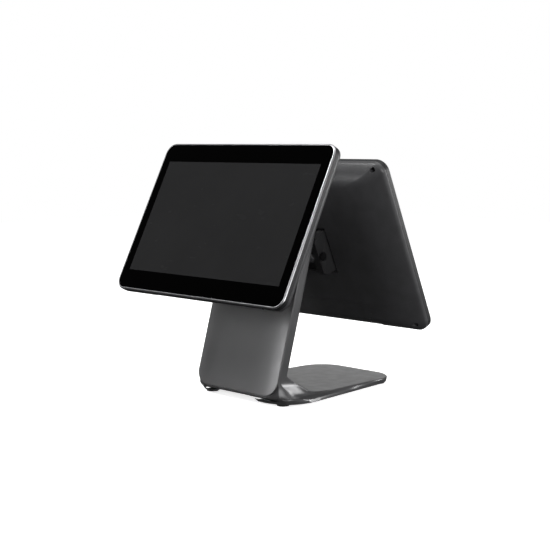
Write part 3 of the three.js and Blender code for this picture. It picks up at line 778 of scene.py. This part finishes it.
def column_section(height, inset, shift):
    """Outline of the column behind its front cover; a positive shift moves its front face back."""
    front = face_depth(height) + (COVER_THICKNESS + GAP) / math.cos(LEAN) + shift
    back = face_depth(height) + COLUMN_DEPTH / math.cos(LEAN) - inset
    return plan_ring(height, front, back, COLUMN_HALF - inset, COLUMN_HALF - inset, 1, 5 - inset / 2)


def stand_form(inset):
    """Foot and column in one; with an inset, the hollow inside them, open behind the front cover."""
    rings = []
    for row in FOOT_SKIRT + smooth_between(FOOT_RAMP):
        height, front, back, half_front, half_back, *corners, crease, bend_x, bend_y = row
        front_radius, back_radius = (max(corner - inset, 1) for corner in corners)
        rings.append(plan_ring(
            height - inset, front + inset, back - inset, half_front - inset, half_back - inset,
            front_radius, back_radius, max(crease, 0), (bend_x - inset, bend_y)))
    for height in (50, 70, 150, COLUMN_TOP - 0.6 + inset):
        rings.append(column_section(height, inset, -SHELL_OPEN_FRONT if inset else 0))
    if not inset:
        rings.append(column_section(COLUMN_TOP, 0.4, 0.4))
    return loft(rings)


def arch_tool():
    """Cable passage under the front of the foot."""
    outline = [(-68, -1), (50, -1), (44, 4), (36, 10.6), (29, 13), (-58, 13), (-62.5, 11.6), (-65, 8)]
    return loft([[(x, y, z) for x, z in outline] for y in (-36, 24)])


def add_stand_shell():
    """Shell of the foot and column, with a window for the hub in the column's back."""
    half = HUB_HALF + HUB_CLEARANCE
    window = box((-half, half), (12, COLUMN_DEPTH + 6), (68, HUB_WINDOW_TOP))
    window.data.transform(Matrix.Translation((0, *COLUMN_POINT)) @ Matrix.Rotation(-LEAN, 4, "X"))
    piece = cut(stand_form(0), stand_form(SHELL_WALL), arch_tool(), window)
    finish_piece(piece, "stand_shell", "skin", IN_STAND, "stand", [STAND], 24)


def cover_ring(depth, inset):
    bottom, top = along_at(COVER_BOTTOM) + inset, along_at(COLUMN_TOP) - inset
    side, lower = COLUMN_HALF - inset, COVER_CORNER - inset
    corners = (arc(side - 3, top - 3, 3, 0, 6) + arc(3 - side, top - 3, 3, 90, 6)
               + arc(lower - side, bottom + lower, lower, 180, CORNER_STEPS)
               + arc(side - lower, bottom + lower, lower, 270, CORNER_STEPS))
    return [(x, depth, z) for x, z in corners]


CROWN = 2.0
CROWN_START = 42
SLICE = 4
SLICES_EACH_SIDE = 22


def crowned(x):
    """How far the cover's face falls back towards its sides."""
    share = max(0.0, (abs(x) - CROWN_START) / (COLUMN_HALF - CROWN_START))
    return CROWN * share * share


def add_front_cover():
    """Satin face plate, cut into narrow upright slices and bent back towards both sides."""
    profile = [(COVER_THICKNESS, 0.4), (COVER_THICKNESS - 0.3, 0), (0.75, 0), (0.35, 0.12),
               (0.1, 0.45), (0, 1)]
    piece = loft([cover_ring(depth, inset) for depth, inset in profile])
    slices = bmesh.new()
    slices.from_mesh(piece.data)
    for i in range(-SLICES_EACH_SIDE, SLICES_EACH_SIDE + 1):
        bmesh.ops.bisect_plane(slices, geom=slices.verts[:] + slices.edges[:] + slices.faces[:],
                               plane_co=(i * SLICE, 0, 0), plane_no=(1, 0, 0))
    for vertex in slices.verts:
        if vertex.co.y < 1:
            vertex.co.y = min(vertex.co.y + crowned(vertex.co.x) * 0.85, COVER_THICKNESS - 0.6)
    slices.to_mesh(piece.data)
    slices.free()
    half = HUB_HALF + HUB_CLEARANCE
    cut(piece, box((-half, half), (-2, COVER_THICKNESS + 2), (84, HUB_WINDOW_TOP)))
    finish_piece(piece, "column_front_cover", "plate", IN_COLUMN, "stand", [COVER])


def add_column_cap():
    """Lid on the column's top, with a rounded upper edge."""
    low = COLUMN_TOP + GAP
    rings = []
    for rise, inset in ((0, 0.3), (0.3, 0), (2, 0), (2.5, 0.2), (2.85, 0.6), (3, 1.2)):
        height = low + rise
        rings.append(plan_ring(height, face_depth(height) + inset,
                               face_depth(height) + COLUMN_DEPTH / math.cos(LEAN) - inset,
                               COLUMN_HALF - inset, COLUMN_HALF - inset, 1.5, 4.5 - inset))
    finish_piece(loft(rings), "column_cap", "top", IN_STAND, "stand", [STAND])


def pivot_of(head, facing):
    """Depth and height of a head's hinge pin; facing is 1 for the main head and -1 for the second."""
    lean = math.radians(head["lean"])
    return (head["centre"][0] + facing * PIVOT_DEPTH * math.cos(lean),
            head["centre"][1] - PIVOT_DEPTH * math.sin(lean))


def to_column(point):
    """The same point in the leaning column's own frame."""
    y, z = point[0] - COLUMN_POINT[0], point[1] - COLUMN_POINT[1]
    return (y * math.cos(LEAN) - z * math.sin(LEAN), y * math.sin(LEAN) + z * math.cos(LEAN))


def add_hub():
    """Casting that carries both hinges through the column, slotted over the spine and bolted on."""
    main_y, main_z = to_column(pivot_of(MAIN, 1))
    second_y, second_z = to_column(pivot_of(SECOND, -1))
    outline = [
        (main_y + 1, main_z + 10.8), (5, 124), (22, 126), (40, 114), (second_y + 3, second_z + 10.6),
        (second_y - 3, second_z - 10.6), (30, 72), (8, 84), (main_y + 3, main_z - 10.6),
    ]
    piece = slab(outline, HUB_HALF)
    for y, z in ((main_y, main_z), (second_y, second_z)):
        join(piece, rod("x", HUB_ROUND, -HUB_HALF, HUB_HALF, y, z, 64))
        cut(piece, rod("x", PIN_BORE, -HUB_HALF - 1, HUB_HALF + 1, y, z, 48))
    cut(piece, box((-60, 60), SPINE_SLOT, (0, along_at(SPINE_TOP) + GAP)))
    for along in HUB_BOLTS:
        cut(piece, rod("y", 5.5, -20, 3, 0, along))
        cut(piece, rod("y", 3.2, 0, 30, 0, along))
    soften(piece, 0.6)
    finish_piece(piece, "hinge_hub", "casting", IN_COLUMN, "stand", [CASTING])


def add_feet():
    """Rubber discs with a rounded edge and a shallow ring in the tread."""
    profile = [(0.3, 0.01), (0.3, 5.5), (0, 6), (0, 9.3), (0.25, 9.8), (0.8, 10), (2.6, 10),
               (3, 9.7), (3, 0.01)]
    for place, spot in FOOT_SPOTS.items():
        rings = [[(x, y, height) for x, y in circle(*spot, reach, 40)] for height, reach in profile]
        finish_piece(loft(rings), f"foot_{place}", "pad", IN_STAND, "stand", [RUBBER])


# ---------------------------------------------------------------- CAD nodes that stay
KEPT = {
    "base_plate": ZINC, "column_spine": ZINC, "chassis_plate": ZINC, "lcd_panel": SOCKET_DARK,
    "hinge_pin": BLACK_STEEL, "washer_left": ALUMINIUM, "washer_right": ALUMINIUM, "mainboard": BOARD,
    "button_board": BOARD, "driver_board": BOARD, "heatsink": ALUMINIUM, "speaker_left": SOCKET_DARK,
    "speaker_right": SOCKET_DARK, "base_screw": BLACK_STEEL, "hub_bolt": BLACK_STEEL,
}


def dress_kept_nodes():
    """A key stands for every node that has it in its name."""
    for name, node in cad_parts.items():
        for key, material in KEPT.items():
            if key in name:
                node.data.materials.clear()
                node.data.materials.append(material)
                break


# ---------------------------------------------------------------- setting
FLOOR_GLOW = 0.75
FLOOR_HALF = 4
SKY = (0.05, 0.5)  # strength just below the horizon and overhead
MIDDLE = (0, 0, 0.2)
# Name, place, target, width and height in metres, and watts.
LIGHTS = [
    ("top_softbox", (0.3, 0.2, 2.2), MIDDLE, (1.4, 1.4), 14),
    ("right_back_softbox", (1.33, 1.43, 0.54), (0.09, -0.07, 0.03), (0.7, 0.4), 27),
    ("right_softbox", (2.2, -0.7, 0.4), MIDDLE, (1.4, 0.9), 34),
    ("front_strip", (-0.95, -1.95, 0.6), MIDDLE, (0.3, 1.2), 16),
    ("left_softbox", (-1.9, -0.85, 0.5), MIDDLE, (0.5, 0.8), 2),
    ("over_front_softbox", (-0.45, -1.1, 1.6), (0.15, 0, 0.37), (0.7, 0.5), 32),
    ("front_right_softbox", (1.1, -2.2, 0.9), MIDDLE, (0.8, 1.0), 3),
    ("back_left_softbox", (-1.33, 1.53, 0.44), (0, 0.1, 0), (0.9, 0.5), 1.1),
]


def add_floor():
    """Plain pale sheet. It shows and takes shadows, and throws no light back on the terminal."""
    bm = bmesh.new()
    bmesh.ops.create_grid(bm, x_segments=24, y_segments=24, size=FLOOR_HALF)
    floor = mesh_object("floor", bm)
    material, shader = new_material("floor_paper", (0.8, 0.8, 0.8), 0.9)
    shader.inputs["Emission Color"].default_value = (1, 1, 1, 1)
    shader.inputs["Emission Strength"].default_value = FLOOR_GLOW
    emboss(material, shader, noise(material, 90), 0.03, 0.001)
    floor.data.materials.append(material)
    floor.visible_diffuse = False
    floor.visible_glossy = False


def add_world():
    """White to look at; as light, a soft sky that is strongest overhead and dark below."""
    world = bpy.data.worlds.new("studio")
    world.use_nodes = True
    nodes, links = world.node_tree.nodes, world.node_tree.links
    background = nodes["Background"]
    background.inputs["Color"].default_value = (1, 1, 1, 1)
    direction = nodes.new("ShaderNodeTexCoord")
    split = nodes.new("ShaderNodeSeparateXYZ")
    sky = nodes.new("ShaderNodeMapRange")
    sky.inputs["From Min"].default_value = -0.1
    sky.inputs["From Max"].default_value = 1
    sky.inputs["To Min"].default_value = SKY[0]
    sky.inputs["To Max"].default_value = SKY[1]
    path = nodes.new("ShaderNodeLightPath")
    choice = nodes.new("ShaderNodeMapRange")
    choice.inputs["To Max"].default_value = 1
    links.new(direction.outputs["Generated"], split.inputs["Vector"])
    links.new(split.outputs["Z"], sky.inputs["Value"])
    links.new(sky.outputs["Result"], choice.inputs["To Min"])
    links.new(path.outputs["Is Camera Ray"], choice.inputs["Value"])
    links.new(choice.outputs["Result"], background.inputs["Strength"])
    bpy.context.scene.world = world


def add_light(name, place, target, size, watts):
    data = bpy.data.lights.new(name, "AREA")
    data.shape = "RECTANGLE"
    data.size, data.size_y = size
    data.energy = watts
    lamp = bpy.data.objects.new(name, data)
    lamp.location = place
    lamp.rotation_euler = (Vector(target) - Vector(place)).to_track_quat("-Z", "Y").to_euler()
    bpy.context.scene.collection.objects.link(lamp)


def add_setting():
    add_floor()
    add_world()
    bpy.context.scene.view_settings.view_transform = "Standard"
    for light in LIGHTS:
        add_light(*light)


# ---------------------------------------------------------------- build
add_camera()
for display in (MAIN, SECOND):
    add_rim(display)
    add_glass(display)
    add_rear_shell(display)
    add_port_cover(display)
    add_ports(display)
    add_bracket(display)
    add_screws(display)
add_power_button()
add_stand_shell()
add_front_cover()
add_column_cap()
add_hub()
add_feet()
dress_kept_nodes()
add_setting()
